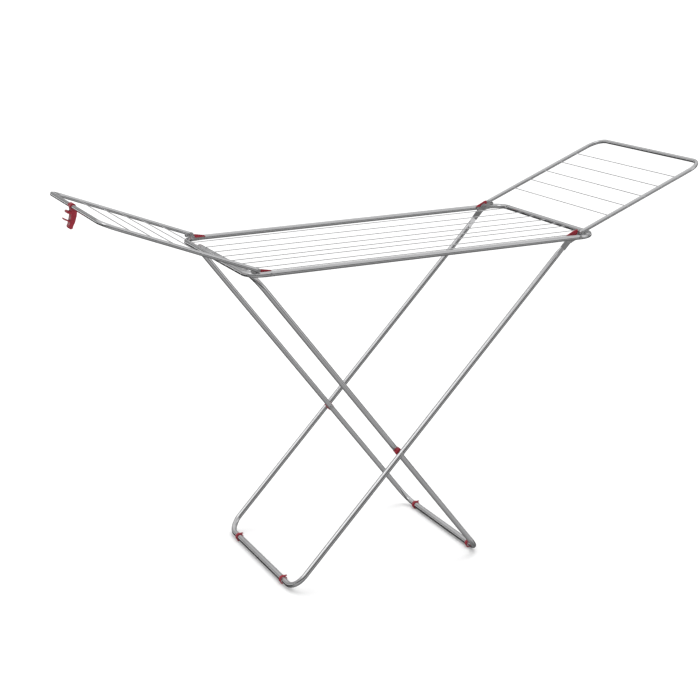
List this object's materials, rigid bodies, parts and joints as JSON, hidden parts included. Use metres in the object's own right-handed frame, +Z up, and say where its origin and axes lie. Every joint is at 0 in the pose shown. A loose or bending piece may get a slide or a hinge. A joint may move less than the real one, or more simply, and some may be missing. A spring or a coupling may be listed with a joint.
{
  "type": "clothes drying rack",
  "caption": "Folding drying rack: a flat wire rack on crossed tube legs, two tilted wire wings hinged at its ends, and red plastic wedges, foot rings and a lock clip.",
  "frame": {"origin": "on the floor, midway between the two wings", "axes": "+X along the rack towards the end that the outer legs are riveted to, +Y across the rack to the far side, +Z up"},
  "size_m": [1.8505, 0.5928, 1.1207],
  "materials": {
    "tube_steel": "bright zinc and chrome plated steel tube, drawn lengthwise",
    "wire_steel": "satin drawn steel wire",
    "rivet_steel": "pressed, plated steel of the rivets and hinge plates",
    "red_plastic": "moulded crimson plastic, semi-gloss"
  },
  "bodies": {
    "rack": {"rack_tube_near": "tube_steel", "rack_tube_far": "tube_steel", "rack_wire_1": "wire_steel", "rack_wire_2": "wire_steel", "rack_wire_3": "wire_steel", "rack_wire_4": "wire_steel", "rack_wire_5": "wire_steel", "rack_wire_6": "wire_steel", "rack_wire_7": "wire_steel", "rack_wire_8": "wire_steel", "rack_wire_heads": "wire_steel", "hinge_plate_right_near": "rivet_steel", "hinge_plate_right_far": "rivet_steel", "hinge_plate_left_near": "rivet_steel", "hinge_plate_left_far": "rivet_steel", "stop_wedge_right_near": "red_plastic", "stop_wedge_right_far": "red_plastic", "stop_wedge_left_near": "red_plastic", "stop_wedge_left_far": "red_plastic", "plate_rivets": "rivet_steel", "leg_pivot_rivets": "rivet_steel", "wing_pins_right": "rivet_steel", "wing_pins_left": "rivet_steel"},
    "outer_legs": {"outer_leg_near": "tube_steel", "outer_leg_far": "tube_steel", "outer_foot_bar": "tube_steel", "crossing_rivets": "rivet_steel", "outer_foot_ring_near": "red_plastic", "outer_foot_ring_far": "red_plastic"},
    "inner_legs": {"inner_leg_near": "tube_steel", "inner_leg_far": "tube_steel", "inner_foot_bar": "tube_steel", "crossing_spacer_near": "red_plastic", "crossing_spacer_far": "red_plastic", "inner_foot_ring_near": "red_plastic", "inner_foot_ring_far": "red_plastic"},
    "wing_right": {"wing_right_tube_near": "tube_steel", "wing_right_tube_far": "tube_steel", "wing_right_wire_1": "wire_steel", "wing_right_wire_2": "wire_steel", "wing_right_wire_3": "wire_steel", "wing_right_wire_4": "wire_steel", "wing_right_wire_5": "wire_steel"},
    "wing_left": {"wing_left_tube_near": "tube_steel", "wing_left_tube_far": "tube_steel", "wing_left_wire_1": "wire_steel", "wing_left_wire_2": "wire_steel", "wing_left_wire_3": "wire_steel", "wing_left_wire_4": "wire_steel", "wing_left_wire_5": "wire_steel"},
    "clip": {"lock_clip": "red_plastic"}
  },
  "joints": [
    {"name": "leg_fold", "type": "hinge", "parent": "rack", "child": "outer_legs", "pos_m": [0.465, 0, 0.925], "axis": [0, -1, 0], "range_deg": [0, 44]},
    {"name": "leg_scissor", "type": "hinge", "parent": "outer_legs", "child": "inner_legs", "pos_m": [-0.08175, 0, 0.36255], "axis": [0, 1, 0], "range_deg": [0, 79.98]},
    {"name": "wing_right_fold", "type": "hinge", "parent": "rack", "child": "wing_right", "pos_m": [0.496, 0, 0.9468], "axis": [0, -1, 0], "range_deg": [0, 158.2]},
    {"name": "wing_left_fold", "type": "hinge", "parent": "rack", "child": "wing_left", "pos_m": [-0.496, 0, 0.9468], "axis": [0, 1, 0], "range_deg": [0, 158.2]},
    {"name": "clip_swing", "type": "hinge", "parent": "wing_left", "child": "clip", "pos_m": [-0.90918, 0.02, 1.11206], "axis": [0, 1, 0], "range_deg": [-60, 150]}
  ],
  "couplings": [
    {"joint": "leg_scissor", "follows": "leg_fold", "ratio": 1.8169}
  ]
}
